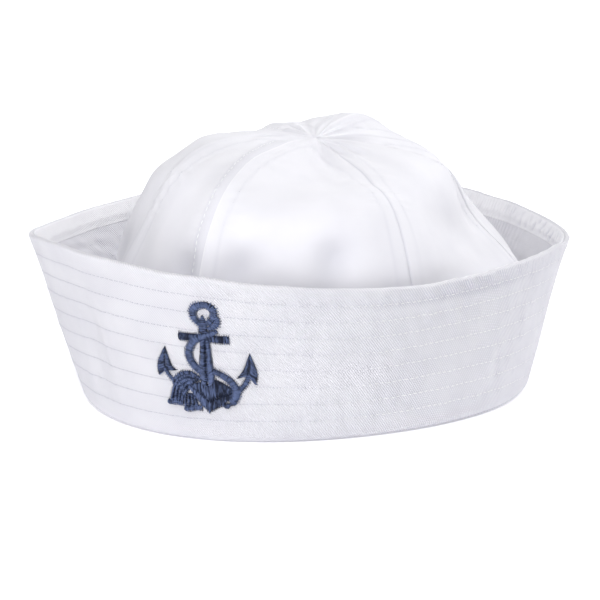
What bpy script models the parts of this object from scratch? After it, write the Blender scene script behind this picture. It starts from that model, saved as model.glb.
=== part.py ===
"""Sailor cap: a round crown of eight cloth gores inside a tall turned-up brim with an embroidered anchor.

Lengths are in metres and angles in degrees. Angle 0 is the front of the cap, at -Y, and 90 is its +X side.
The cap stands at z = 0 on the fold of its brim. "Outset" is a distance outwards from the head opening's oval.
"""

from collections import namedtuple

import bmesh
import bpy
import numpy as np

# Head opening, and the fold at the foot of the brim
HEAD_LENGTH = 0.197
HEAD_WIDTH = 0.165
FOLD_RADIUS = 0.0022
FOOT_FLAT = 0.0020
ROLL_RADIUS = 0.0045
SEAM_ALLOWANCE = 0.012
FOOT_SWING = 0.006

# Brim and its hem
BRIM_HEIGHT = 0.066
BRIM_FLARE = 0.022
BRIM_WALL = 0.0018
BRIM_BOW = 0.0012
BRIM_DENT = 0.0018
HEM_HEIGHT = 0.0085
HEM_WALL = 0.0010

# Crown
CROWN_HEIGHT = 0.1075
CROWN_WALL = 0.0012
SIDE_HEIGHT = 0.045
LEAN_RIGHT = 0.0155
LEAN_FRONT = 0.0214
PANEL_SINK = 0.0012
LEAN_CURVE = 1.4
CROWN_DENT = 0.0030
APEX_SINK = 0.0025
APEX_SINK_REACH = 0.07
APEX_HOLE = 0.0014

# Embroidery
ANCHOR_HEIGHT = 0.048
ANCHOR_RELIEF = 0.0011
ANCHOR_ANGLE = 4.0
ANCHOR_RISE = 0.496

# Clearances: between pieces, between neighbouring gores, and round the crown's foot in the fold
GAP = 0.0003
GORE_GAP = 0.0005
SEAM_ROOM = 0.0005

# How finely the faceted solids follow the cloth
BRIM_COLUMNS = 66
LEG_ROWS = 2
FOLD_ROWS = 3
ROLL_ROWS = 4
WALL_ROWS = 7
GORE_ROWS = 14
GORE_STEP = 6.0
BAND_STEPS = 2
RING_SIDES = 16
SLICE = 0.008
WELD = 0.00001

# The form eight ways round. Shares of FOOT_SWING, BRIM_FLARE, BRIM_HEIGHT, the crown's foot radius (twice)
# and CROWN_HEIGHT (twice).
Section = namedtuple("Section", "angle swing flare rim side shoulder shoulder_height crest_height")
SECTIONS = (
    Section(0, 0.00, 0.84, 1.021, 0.986, 0.869, 0.791, 0.973),
    Section(45, -0.69, 0.73, 0.917, 1.026, 0.831, 0.808, 0.918),
    Section(90, -0.10, 0.65, 0.956, 1.044, 0.741, 0.698, 0.939),
    Section(135, 0.16, 0.82, 0.929, 1.003, 0.746, 0.757, 0.905),
    Section(180, 0.35, 1.03, 1.051, 1.002, 0.747, 0.718, 1.030),
    Section(225, 0.37, 1.08, 1.055, 1.003, 0.790, 0.765, 1.003),
    Section(270, 0.42, 1.05, 0.947, 0.969, 0.893, 0.726, 0.987),
    Section(315, -0.29, 0.88, 1.059, 0.938, 0.798, 0.757, 1.011),
)

# Places up the crown, from foot to apex, that the sections give: foot, side, shoulder, crest and apex
CROWN_STATIONS = (0.0, 0.26, 0.56, 0.80, 1.0)
CREST_RADIUS = 0.53

# The angle of each seam at the crown's foot and at its apex
Seam = namedtuple("Seam", "foot apex")
SEAMS = (
    Seam(-3, -8),
    Seam(54, 48),
    Seam(99, 112),
    Seam(143, 152),
    Seam(187, 194),
    Seam(229, 232),
    Seam(271, 270),
    Seam(315, 320),
)

# Soft dents, and swells where the depth is below 0. Up is a share of the brim's wall, or of the crown from
# foot to apex, and depth is a share of the dent size.
Dent = namedtuple("Dent", "angle across up tall depth")
BRIM_DENTS = (
    Dent(327, 9, 0.38, 0.50, 1.0),
    Dent(17, 8, 0.30, 0.45, 0.7),
    Dent(58, 14, 0.55, 0.40, 0.5),
    Dent(200, 16, 0.70, 0.40, 0.8),
    Dent(290, 16, 0.50, 0.45, -0.6),
)
CROWN_DENTS = (
    Dent(-9, 6, 0.24, 0.07, 0.8),
    Dent(10, 6, 0.24, 0.07, 0.7),
    Dent(34, 8, 0.25, 0.08, 0.6),
    Dent(24, 12, 0.80, 0.07, 0.7),
    Dent(296, 12, 0.42, 0.12, 0.8),
    Dent(120, 16, 0.62, 0.12, 1.0),
    Dent(252, 14, 0.60, 0.10, 0.8),
    Dent(100, 14, 0.58, 0.12, -0.5),
)

# The anchor drawn flat, in hundredths of ANCHOR_HEIGHT from its middle. Relief is a share of ANCHOR_RELIEF.
RING_MIDDLE = (0.4, 38.6)
RING_RADIUS = 11.2
RING_HOLE = 5.6
RING_RELIEF = 0.80
Plate = namedtuple("Plate", "name relief outline")
Band = namedtuple("Band", "name relief half_width path")
SHANK_OUTLINE = (
    (-0.4, 37.5), (-3.3, 34), (-4.2, 24), (-4.6, 13), (-7.6, -22),
    (5.2, -22), (3.4, 13), (2.8, 24), (2.2, 34),
)
STOCK_OUTLINE = ((-21.5, 20.2), (-22.3, 12.1), (18.8, 14.2), (19.2, 21.5))
FLUKE_LEFT_OUTLINE = ((-36.5, 5), (-46, -9.4), (-47.3, -21), (-39.5, -14), (-28.7, -13.8), (-34, -5))
FLUKE_RIGHT_OUTLINE = ((34.8, 7.3), (30, -4.6), (23.1, -15.4), (32.5, -13.4), (39.4, -21.9), (40.4, -12))
FOOT_OUTLINE = (
    (-18.3, -28), (-13.8, -38), (-3.3, -50), (8.3, -41.5),
    (18.6, -32), (17, -28), (4.8, -17), (-8, -18),
)
ROPE_PILE_OUTLINE = ((-34, -24), (-29, -18), (-21, -15.6), (-12, -17), (-9, -20), (-15, -29), (-33, -29))
ROPE_FALL_OUTLINE = ((-33, -25), (-36, -33), (-42.3, -45), (-26.7, -45), (-22, -38), (-15, -26))
ROPE_END_OUTLINE = ((-18, -31), (-24, -40), (-25, -49.4), (-9.6, -47), (-11, -33))
SHANK = Plate("shank", 0.90, SHANK_OUTLINE)
PLATES = (
    Plate("stock", 0.75, STOCK_OUTLINE),
    Plate("fluke_left", 0.80, FLUKE_LEFT_OUTLINE),
    Plate("fluke_right", 0.80, FLUKE_RIGHT_OUTLINE),
    Plate("foot", 0.70, FOOT_OUTLINE),
    Plate("rope_pile", 1.0, ROPE_PILE_OUTLINE),
    Plate("rope_fall", 0.85, ROPE_FALL_OUTLINE),
    Plate("rope_end", 0.95, ROPE_END_OUTLINE),
)
ARM_LEFT_PATH = ((-40.5, -10), (-38.5, -15), (-35.5, -20.5), (-31, -25.5), (-24, -31))
ARM_RIGHT_PATH = ((33.3, -10), (32, -15), (29.5, -21.5), (25, -28), (18, -33.5))
ROPE_UPPER_PATH = (
    (10.5, 37), (11.2, 31), (7.5, 25), (0, 20.8), (-8.5, 15.5),
    (-14.6, 8), (-16.3, 0), (-13, -7), (-6, -13),
)
ROPE_LOWER_PATH = (
    (2, -11), (9, -13.5), (16, -17), (21, -22.5), (23, -29),
    (22.2, -36), (16, -40.5), (9.6, -43),
)
BANDS = (
    Band("arm_left", 0.75, 3.0, ARM_LEFT_PATH),
    Band("arm_right", 0.75, 3.4, ARM_RIGHT_PATH),
    Band("rope_upper", 1.0, 3.4, ROPE_UPPER_PATH),
    Band("rope_lower", 0.95, 3.2, ROPE_LOWER_PATH),
)


def smooth(knots, values, at):
    """A cubic spline through the values at the knots, straight beyond its ends, read at each place in at."""
    knots = np.asarray(knots, float)
    values = np.asarray(values, float)
    at = np.asarray(at, float)
    step = np.diff(knots)
    slope = np.diff(values, axis=0) / step[:, None]
    count = len(knots)
    system = np.eye(count)
    turns = np.zeros_like(values)
    for i in range(1, count - 1):
        system[i, i - 1 : i + 2] = step[i - 1], 2 * (step[i - 1] + step[i]), step[i]
        turns[i] = 6 * (slope[i] - slope[i - 1])
    bend = np.linalg.solve(system, turns)
    cell = np.clip(np.searchsorted(knots, at, side="right") - 1, 0, count - 2)
    width = step[cell][..., None]
    after = (at - knots[cell])[..., None]
    before = width - after
    curved = (bend[cell] * before**3 + bend[cell + 1] * after**3) / (6 * width)
    start = (values[cell] / width - bend[cell] * width / 6) * before
    end = (values[cell + 1] / width - bend[cell + 1] * width / 6) * after
    return curved + start + end


def section(angle):
    """The row of shares at any angle, read smoothly round the eight sections."""
    angles = np.array([row.angle for row in SECTIONS], float)
    shares = np.array([row[1:] for row in SECTIONS])
    knots = np.concatenate([angles - 360, angles, angles + 360])
    row = smooth(knots, np.tile(shares, (3, 1)), np.mod(angle, 360.0))
    return Section(angle, *np.moveaxis(row, -1, 0))


def ease(value):
    value = np.clip(value, 0, 1)
    return value * value * (3 - 2 * value)


def hollow(dents, size, angle, up):
    """How deep the dents of a table are at a place."""
    depth = np.zeros(np.broadcast(angle, up).shape)
    for dent in dents:
        away = (np.mod(angle - dent.angle + 180, 360) - 180) / dent.across
        depth = depth + size * dent.depth * np.exp(-(away**2) - ((up - dent.up) / dent.tall) ** 2)
    return depth


def oval(angle, outset):
    """A place in plan, at an outset from the head opening."""
    turn = np.radians(angle)
    half_length = HEAD_LENGTH / 2
    half_width = HEAD_WIDTH / 2
    edge = np.stack([half_width * np.sin(turn), -half_length * np.cos(turn)], -1)
    normal = np.stack([np.sin(turn) / half_width, -np.cos(turn) / half_length], -1)
    normal = normal / np.linalg.norm(normal, axis=-1, keepdims=True)
    return edge + normal * np.asarray(outset)[..., None]


def raised(angle, outset, height):
    return np.concatenate([oval(angle, outset), np.asarray(height)[..., None]], -1)


def roll_centre():
    """Outset of the centre of the fold's outer roll."""
    return FOLD_RADIUS + FOOT_FLAT


def brim_wall(angle):
    """Outset and height of the wall's foot and rim, and the direction that faces out of it."""
    row = section(angle)
    rim_outset = roll_centre() + ROLL_RADIUS + BRIM_FLARE * row.flare
    rim_height = BRIM_HEIGHT * row.rim
    across = rim_outset - roll_centre()
    up = rim_height - ROLL_RADIUS
    facing = np.arctan2(up, across) - np.arccos(ROLL_RADIUS / np.hypot(across, up))
    out = np.stack([np.cos(facing), np.sin(facing)], -1)
    foot = np.stack([roll_centre() + ROLL_RADIUS * out[..., 0], ROLL_RADIUS * (1 + out[..., 1])], -1)
    rim = np.stack([rim_outset, rim_height], -1)
    return foot, rim, out


def wall_point(angle, rise, depth=0.0):
    """A place on the brim's wall: rise is 0 at its foot and 1 at its rim, depth goes in from its outer face."""
    angle, rise, depth = np.broadcast_arrays(np.asarray(angle, float), rise, depth)
    foot, rim, out = brim_wall(angle)
    bow = BRIM_BOW * np.sin(np.pi * rise) * rise
    inwards = depth + bow + hollow(BRIM_DENTS, BRIM_DENT, angle, rise) * np.sin(np.pi * rise)
    place = foot + (rim - foot) * rise[..., None] - out * inwards[..., None]
    return raised(angle, place[..., 0] + FOOT_SWING * section(angle).swing, place[..., 1])


def crown_foot_outset():
    """Outset of the crown's outer face where it stands inside the fold."""
    return BRIM_WALL + SEAM_ROOM + CROWN_WALL


def crown_form(angle, share):
    """A place on the crown before its seams and dents, share from 0 at its foot to 1 at its apex."""
    angle, share = np.broadcast_arrays(np.asarray(angle, float), share)
    row = section(angle)
    weight = np.moveaxis(smooth(CROWN_STATIONS, np.eye(len(CROWN_STATIONS)), share), -1, 0)
    radius = weight[0] + weight[1] * row.side + weight[2] * row.shoulder + weight[3] * CREST_RADIUS
    top = weight[2] * row.shoulder_height + weight[3] * row.crest_height + weight[4]
    height = weight[1] * SIDE_HEIGHT + top * CROWN_HEIGHT
    free = ease((height - SEAM_ALLOWANCE) / (SIDE_HEIGHT - SEAM_ALLOWANCE))
    radius = 1 + (radius - 1) * free
    plan = oval(angle, crown_foot_outset() + FOOT_SWING * row.swing * (1 - free)) * radius[..., None]
    lean = (np.clip(height - SEAM_ALLOWANCE, 0, None) / (CROWN_HEIGHT - SEAM_ALLOWANCE)) ** LEAN_CURVE
    shift = np.stack([LEAN_RIGHT * lean, -LEAN_FRONT * lean], -1)
    base = BRIM_WALL + GAP
    return np.concatenate([plan + shift, (base + height * (1 - base / CROWN_HEIGHT))[..., None]], -1)


def crown_normal(angle, share):
    """The direction out of the crown, from two small steps along it."""
    turn, climb = 0.5, 0.004
    along = crown_form(angle + turn, share) - crown_form(angle - turn, share)
    up = crown_form(angle, share + climb) - crown_form(angle, share - climb)
    normal = np.cross(along, up)
    return normal / np.linalg.norm(normal, axis=-1, keepdims=True)


def crown_point(angle, share, across):
    """A place on the crown's outer face. Across runs from 0 to 1 between the two seams of a gore."""
    body = ease((share - CROWN_STATIONS[0]) / CROWN_STATIONS[1]) * ease((1 - share) / (1 - CROWN_STATIONS[3]))
    sink = PANEL_SINK * np.sin(np.pi * across) ** 2 * body
    sink = sink + hollow(CROWN_DENTS, CROWN_DENT, angle, share) * ease(share / CROWN_STATIONS[1])
    drop = APEX_SINK * np.exp(-(((1 - share) / APEX_SINK_REACH) ** 2))
    place = crown_form(angle, share) - crown_normal(angle, share) * sink[..., None]
    place[..., 2] -= drop
    return place


def apex_share():
    """How far up the gores end, so that they leave the small opening where the seams meet."""
    near = 0.98
    apex = crown_form(0.0, 1.0)
    radius = np.linalg.norm(crown_form(np.arange(0.0, 360.0, 45.0), near) - apex, axis=-1).mean()
    return 1 - (1 - near) * APEX_HOLE / radius


def gore_points(left, right):
    """The outer face of the gore between two seams, half a gap in from each."""
    columns = round((right.foot - left.foot) / GORE_STEP) + 1
    across, share = np.meshgrid(np.linspace(0, 1, columns), np.linspace(0, apex_share(), GORE_ROWS))
    start = left.foot + (left.apex - left.foot) * share
    end = right.foot + (right.apex - right.foot) * share
    span = np.linalg.norm(crown_form(end, share) - crown_form(start, share), axis=-1)
    inset = (end - start) * (GORE_GAP / 2) / span
    angle = start + inset + (end - start - 2 * inset) * across
    return crown_point(angle, share, across)


def brim_angles():
    return np.arange(BRIM_COLUMNS) * 360.0 / BRIM_COLUMNS


def brim_points():
    """The face of the brim that looks away from the crown, from its inner leg round the fold to its rim."""
    angle = brim_angles()
    swing = FOOT_SWING * section(angle).swing
    _, _, out = brim_wall(angle)
    facing = np.arctan2(out[:, 1], out[:, 0])
    rows = []
    for height in np.linspace(SEAM_ALLOWANCE, FOLD_RADIUS, LEG_ROWS + 1)[:-1]:
        rows.append(raised(angle, swing, np.full(BRIM_COLUMNS, height)))
    for turn in np.linspace(np.pi, 1.5 * np.pi, FOLD_ROWS + 1):
        outset = FOLD_RADIUS * (1 + np.cos(turn)) + swing
        rows.append(raised(angle, outset, np.full(BRIM_COLUMNS, FOLD_RADIUS * (1 + np.sin(turn)))))
    for part in np.linspace(0, 1, ROLL_ROWS + 1)[:-1]:
        turn = -np.pi / 2 + (facing + np.pi / 2) * part
        outset = roll_centre() + ROLL_RADIUS * np.cos(turn) + swing
        rows.append(raised(angle, outset, ROLL_RADIUS * (1 + np.sin(turn))))
    for rise in np.linspace(0, 1, WALL_ROWS + 1):
        rows.append(wall_point(angle, rise))
    return np.array(rows)


def hem_points():
    """The face of the hem strip that lies against the brim."""
    low = 1 - HEM_HEIGHT / BRIM_HEIGHT
    return np.array([wall_point(brim_angles(), rise, BRIM_WALL + GAP) for rise in (low, (low + 1) / 2, 1)])


def band_outline(band):
    """The outline of a band of even width along a smooth path."""
    path = np.array(band.path)
    knots = np.arange(len(path))
    at = np.linspace(0, len(path) - 1, BAND_STEPS * (len(path) - 1) + 1)
    middle = smooth(knots, path, at)
    along = np.gradient(middle, axis=0)
    side = np.stack([-along[:, 1], along[:, 0]], -1)
    side = side / np.linalg.norm(side, axis=-1, keepdims=True) * band.half_width
    return np.concatenate([middle + side, (middle - side)[::-1]])


def ring_outlines():
    turn = np.radians(np.arange(0, 360, 360 / RING_SIDES))
    circle = np.stack([np.cos(turn), np.sin(turn)], -1)
    return [np.array(RING_MIDDLE) + circle * radius for radius in (RING_RADIUS, RING_HOLE)]


def flat_plate(name, outlines, relief, home):
    """A flat solid with its foot at z = 0, filled between closed outlines."""
    thickness = ANCHOR_RELIEF * relief
    drawing = bpy.data.curves.new(name, "CURVE")
    drawing.dimensions = "2D"
    drawing.fill_mode = "BOTH"
    drawing.extrude = thickness / 2
    for outline in outlines:
        line = drawing.splines.new("POLY")
        line.points.add(len(outline) - 1)
        line.use_cyclic_u = True
        for point, (x, y) in zip(line.points, np.array(outline) * ANCHOR_HEIGHT / 100):
            point.co = (x, y, 0, 1)
    drawn = bpy.data.objects.new(name, drawing)
    home.objects.link(drawn)
    graph = bpy.context.evaluated_depsgraph_get()
    mesh = bpy.data.meshes.new_from_object(drawn.evaluated_get(graph))
    form = bmesh.new()
    form.from_mesh(mesh)
    bmesh.ops.remove_doubles(form, verts=form.verts, dist=WELD)
    bmesh.ops.translate(form, verts=form.verts, vec=(0, 0, thickness / 2))
    bmesh.ops.recalc_face_normals(form, faces=form.faces)
    form.to_mesh(mesh)
    form.free()
    bpy.data.objects.remove(drawn, do_unlink=True)
    plate = bpy.data.objects.new(name, mesh)
    plate.hide_render = True
    plate.display_type = "WIRE"
    home.objects.link(plate)
    return plate


def slice_up(form, step):
    """Cuts the drawing's faces on a square grid, so that it can bend."""
    for axis in (0, 1):
        places = [vert.co[axis] for vert in form.verts]
        for line in np.arange(np.ceil(min(places) / step), np.floor(max(places) / step) + 1) * step:
            normal = [0.0, 0.0, 0.0]
            middle = [0.0, 0.0, 0.0]
            normal[axis] = 1.0
            middle[axis] = line
            everything = [*form.verts, *form.edges, *form.faces]
            bmesh.ops.bisect_plane(form, geom=everything, dist=WELD, plane_co=middle, plane_no=normal)


def anchor(material, home, drafts):
    """The embroidered anchor: flat plates joined into one solid, then laid on the brim's wall."""
    others = bpy.data.collections.new("anchor_plates")
    drafts.children.link(others)
    shank = flat_plate(SHANK.name, [SHANK.outline], SHANK.relief, drafts)
    flat_plate("ring", ring_outlines(), RING_RELIEF, others)
    for plate in PLATES:
        flat_plate(plate.name, [plate.outline], plate.relief, others)
    for band in BANDS:
        flat_plate(band.name, [band_outline(band)], band.relief, others)
    union = shank.modifiers.new("join", "BOOLEAN")
    union.operation = "UNION"
    union.operand_type = "COLLECTION"
    union.collection = others
    graph = bpy.context.evaluated_depsgraph_get()
    mesh = bpy.data.meshes.new_from_object(shank.evaluated_get(graph))
    form = bmesh.new()
    form.from_mesh(mesh)
    bmesh.ops.triangulate(form, faces=form.faces)
    slice_up(form, SLICE)
    left, right = wall_point([ANCHOR_ANGLE - 0.5, ANCHOR_ANGLE + 0.5], ANCHOR_RISE)
    degree = np.linalg.norm(right - left)
    climb = np.linalg.norm(wall_point(ANCHOR_ANGLE, 1.0) - wall_point(ANCHOR_ANGLE, 0.0))
    for vert in form.verts:
        x, y, height = vert.co
        vert.co = wall_point(ANCHOR_ANGLE + x / degree, ANCHOR_RISE + y / climb, -GAP - height)
    form.to_mesh(mesh)
    form.free()
    return add_object("anchor_embroidery", mesh, material, home)


def cloth(name, colour, roughness):
    material = bpy.data.materials.new(name)
    material.use_nodes = True
    shader = material.node_tree.nodes["Principled BSDF"]
    shader.inputs["Base Color"].default_value = (*colour, 1.0)
    shader.inputs["Roughness"].default_value = roughness
    shader.inputs["Metallic"].default_value = 0.0
    return material


def add_object(name, mesh, material, home):
    piece = bpy.data.objects.new(name, mesh)
    mesh.materials.append(material)
    home.objects.link(piece)
    return piece


def sheet(name, points, wall, material, home, closed):
    """A cloth wall lofted through rows of points, thickened away from the side that the rows face."""
    mesh = bpy.data.meshes.new(name)
    form = bmesh.new()
    rows = [[form.verts.new(point) for point in row] for row in points]
    columns = len(rows[0])
    for lower, upper in zip(rows, rows[1:]):
        for left in range(columns if closed else columns - 1):
            right = (left + 1) % columns
            form.faces.new((lower[left], lower[right], upper[right], upper[left]))
    form.to_mesh(mesh)
    form.free()
    mesh.shade_smooth()
    piece = add_object(name, mesh, material, home)
    thick = piece.modifiers.new("wall", "SOLIDIFY")
    thick.thickness = wall
    thick.offset = -1.0
    thick.use_even_offset = True
    return piece


def stand_on_origin(pieces, home):
    """Hangs the pieces on an empty that brings the middle of the rim's box over the origin."""
    rim = wall_point(brim_angles(), 1.0)
    middle = (rim.min(axis=0) + rim.max(axis=0)) / 2
    cap = bpy.data.objects.new("sailor_cap", None)
    cap.location = (-middle[0], -middle[1], 0.0)
    home.objects.link(cap)
    for piece in pieces:
        piece.parent = cap


def main():
    for item in list(bpy.data.objects):
        bpy.data.objects.remove(item, do_unlink=True)
    home = bpy.data.collections.new("sailor_cap")
    drafts = bpy.data.collections.new("drafts")
    for collection in (home, drafts):
        bpy.context.scene.collection.children.link(collection)
    white = cloth("white_cotton", (0.86, 0.86, 0.89), 0.85)
    navy = cloth("navy_thread", (0.03, 0.05, 0.14), 0.6)
    pieces = [
        sheet("brim", brim_points(), BRIM_WALL, white, home, closed=True),
        sheet("brim_hem", hem_points(), HEM_WALL, white, home, closed=True),
        anchor(navy, home, drafts),
    ]
    for number, left in enumerate(SEAMS, 1):
        right = SEAMS[number % len(SEAMS)]
        if number == len(SEAMS):
            right = Seam(right.foot + 360, right.apex + 360)
        points = gore_points(left, right)
        pieces.append(sheet(f"crown_gore_{number}", points, CROWN_WALL, white, home, closed=False))
    stand_on_origin(pieces, home)


main()
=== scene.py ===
"""Sailor cap, the looks: twill brim with its stitch rows, felled crown seams, satin-stitched anchor.

Lengths are in metres and angles in degrees. Angle 0 is the front of the cap, at -Y, and 90 is its +X side.
The cloth follows the same form as the solids, with the finer relief added here.
"""

from collections import namedtuple

import bpy
import numpy as np
from mathutils import Matrix, Vector


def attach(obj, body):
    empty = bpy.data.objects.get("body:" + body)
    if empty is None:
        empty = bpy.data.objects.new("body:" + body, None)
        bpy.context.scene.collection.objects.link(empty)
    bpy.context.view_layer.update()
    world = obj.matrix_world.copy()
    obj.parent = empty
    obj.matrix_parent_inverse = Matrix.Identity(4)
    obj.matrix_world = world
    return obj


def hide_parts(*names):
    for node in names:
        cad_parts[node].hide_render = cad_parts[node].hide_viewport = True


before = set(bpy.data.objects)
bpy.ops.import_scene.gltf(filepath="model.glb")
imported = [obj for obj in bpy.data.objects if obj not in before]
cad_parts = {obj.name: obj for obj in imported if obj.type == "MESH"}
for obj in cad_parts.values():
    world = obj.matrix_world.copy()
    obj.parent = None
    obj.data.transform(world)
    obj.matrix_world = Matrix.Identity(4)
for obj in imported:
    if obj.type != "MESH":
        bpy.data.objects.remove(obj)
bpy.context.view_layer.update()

# Head opening, and the fold at the foot of the brim
HEAD_LENGTH = 0.197
HEAD_WIDTH = 0.165
FOLD_RADIUS = 0.0022
FOOT_FLAT = 0.0020
ROLL_RADIUS = 0.0045
SEAM_ALLOWANCE = 0.012
FOOT_SWING = 0.006

# Brim and its hem
BRIM_HEIGHT = 0.066
BRIM_FLARE = 0.022
BRIM_WALL = 0.0018
BRIM_BOW = 0.0012
BRIM_DENT = 0.0018
HEM_HEIGHT = 0.0085
HEM_WALL = 0.0009

# Crown
CROWN_HEIGHT = 0.1075
CROWN_WALL = 0.0012
SIDE_HEIGHT = 0.045
LEAN_RIGHT = 0.0155
LEAN_FRONT = 0.0214
PANEL_SINK = 0.0012
CROWN_DENT = 0.0030
APEX_SINK = 0.0010
APEX_HOLE = 0.0001
APEX_PULL = np.array([-0.0045, 0.0045, 0.0008])
SEAM_ROOM = 0.0005
# How much shade is painted in the crown's dents for each metre of their depth
HOLLOW_PAINTED_SHADE = 170.0

# Embroidery
ANCHOR_HEIGHT = 0.048
ANCHOR_ANGLE = 3.8
ANCHOR_RISE = 0.502

# Distances round the brim, the crown and its gathers, and up a gore, near enough for patterns
BRIM_AROUND = 0.63
CROWN_AROUND = 0.468
GATHER_AROUND = 0.216
GORE_LENGTH = 0.17

# Fineness of the cloth
BRIM_COLUMNS = 530
WALL_ROWS = 72
GORE_COLUMNS = 48
GORE_ROWS = 112
HEM_ROWS = 14

# The form eight ways round, as shares of the sizes above
Section = namedtuple("Section", "angle swing flare rim side shoulder shoulder_height crest_height")
SECTIONS = (
    Section(0, 0.00, 0.84, 1.021, 0.986, 0.869, 0.791, 0.973),
    Section(45, -0.69, 0.73, 0.917, 1.026, 0.831, 0.808, 0.918),
    Section(90, -0.10, 0.65, 0.956, 1.044, 0.741, 0.698, 0.939),
    Section(135, 0.16, 0.82, 0.929, 1.003, 0.746, 0.757, 0.905),
    Section(180, 0.35, 1.03, 1.051, 1.002, 0.747, 0.718, 1.030),
    Section(225, 0.37, 1.08, 1.055, 1.003, 0.790, 0.765, 1.003),
    Section(270, 0.42, 1.05, 0.947, 0.969, 0.893, 0.726, 0.987),
    Section(315, -0.29, 0.88, 1.059, 0.938, 0.798, 0.757, 1.011),
)
CROWN_STATIONS = (0.0, 0.26, 0.56, 0.80, 1.0)
CREST_RADIUS = 0.53

# Lip is how far the cloth after a seam stands up along it. Crease is how deep the seam's line is and how much
# shade is painted in it, or how proud it is and how much highlight is painted on it where it is negative, and
# band how much shade is painted on the felled band before it. Before and after are how far the stitch rows on
# its two sides stand out; sunken rows carry painted shade.
Seam = namedtuple("Seam", "foot apex lip crease band before after")
SEAMS = (
    Seam(-3, -8, 0.0006, -0.50, 0.28, 0.00008, -0.00010),
    Seam(54, 48, 0.0001, 0.60, 0.00, -0.00012, -0.00011),
    Seam(99, 112, 0.0003, 0.12, 0.00, -0.00004, -0.00010),
    Seam(143, 152, 0.0001, 0.10, 0.00, -0.00006, -0.00006),
    Seam(187, 181, 0.0001, -0.50, 0.15, -0.00010, -0.00010),
    Seam(229, 232, 0.0005, 0.35, 0.00, 0.00002, 0.00002),
    Seam(271, 270, 0.0004, 0.40, 0.00, -0.00004, 0.00002),
    Seam(315, 320, 0.0003, 0.35, 0.00, -0.00011, -0.00010),
)

Dent = namedtuple("Dent", "angle across up tall depth")
BRIM_DENTS = (
    Dent(327, 9, 0.38, 0.50, 1.0),
    Dent(17, 8, 0.30, 0.45, 0.7),
    Dent(58, 14, 0.55, 0.40, 0.5),
    Dent(200, 16, 0.70, 0.40, 0.8),
    Dent(290, 16, 0.50, 0.45, -0.6),
)
CROWN_DENTS = (
    Dent(-12, 5, 0.405, 0.07, 0.9),
    Dent(5, 6, 0.415, 0.07, 1.0),
    Dent(32, 6, 0.43, 0.06, 0.9),
    Dent(24, 12, 0.80, 0.07, 0.7),
    Dent(296, 12, 0.42, 0.12, 0.8),
    Dent(120, 16, 0.62, 0.12, 0.4),
    Dent(252, 14, 0.60, 0.10, 0.8),
    Dent(100, 14, 0.58, 0.12, -0.2),
    Dent(82, 11, 0.63, 0.10, -0.4),
    Dent(288, 11, 0.67, 0.05, -0.8),
    Dent(288, 11, 0.79, 0.05, -0.9),
)
Fold = namedtuple("Fold", "angle share end_angle end_share width depth")
CROWN_FOLDS = (
    Fold(285, 0.984, 160, 0.988, 0.0012, 0.0008),
    Fold(22, 0.955, 40, 0.83, 0.0035, -0.0014),
    Fold(12, 0.93, 34, 0.76, 0.0030, 0.0009),
    Fold(38, 0.80, 60, 0.66, 0.0040, -0.0012),
    Fold(62, 0.88, 72, 0.72, 0.0040, -0.0008),
    Fold(-12, 0.92, -4, 0.80, 0.0030, -0.0008),
    Fold(-20, 0.86, -34, 0.72, 0.0040, -0.0010),
    Fold(52, 0.30, 60, 0.20, 0.0040, -0.0012),
    Fold(46, 0.28, 42, 0.18, 0.0040, -0.0010),
    Fold(-7, 0.34, -12, 0.20, 0.0040, -0.0012),
    Fold(4, 0.32, 9, 0.20, 0.0040, -0.0010),
    Fold(92, 0.62, 84, 0.40, 0.0050, -0.0004),
    Fold(110, 0.75, 96, 0.50, 0.0060, -0.0014),
    Fold(300, 0.80, 312, 0.62, 0.0050, -0.0010),
)

# Stretches of the brim where the cloth's form differs, or where shade or light is painted on it: their middle
# and how far they reach
Stretch = namedtuple("Stretch", "middle reach")
LIFTED_ROWS = Stretch(66, 26)
# Painted shade in the grooves of the stitch rows on the left
LEFT_ROWS_PAINTED_SHADE = Stretch(-55, 38)
# Painted light on the stitch rows at the right, where they also stand prouder
PROUD_ROWS_PAINTED_LIGHT = Stretch(70, 45)
PUCKERED_ROWS = Stretch(75, 38)
DEEP_EDGE = Stretch(60, 16)
# Painted shade on the rolled edge at the front right
ROLLED_EDGE_PAINTED_SHADE = Stretch(60, 20)
ROPED_EDGE = Stretch(62, 22)
ROPED_HEM = Stretch(118, 34)
# Painted shade on the right side of the wall
WALL_PAINTED_SHADE = Stretch(80, 32)
SLACK_PLY = Stretch(250, 40)

# Kinds of ripples in the cloth: their wavelengths, and the slant of their course in radians
Ripple = namedtuple("Ripple", "seed shortest longest slant")
QUILTING = Ripple(3, 0.010, 0.030, 0.0)
ROW_PUCKERS = Ripple(5, 0.0045, 0.0090, 0.35)
EDGE_ROPES = Ripple(7, 0.0040, 0.0075, 0.75)
HEM_ROPES = Ripple(11, 0.0034, 0.0060, 0.25)
RIM_WAVES = Ripple(13, 0.020, 0.050, 0.0)
WRINKLES = Ripple(17, 0.0050, 0.0090, -0.75)
CROWN_WAVES = Ripple(21, 0.020, 0.045, 0.0)
EDGE_SPOTS = Ripple(29, 0.003, 0.009, 0.0)
GATHERS = Ripple(33, 0.006, 0.012, 0.0)
SEAM_PUCKERS = Ripple(100, 0.0045, 0.0085, 0.3)
WAVES = 9
SLANT_SPREAD = 0.35
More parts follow.
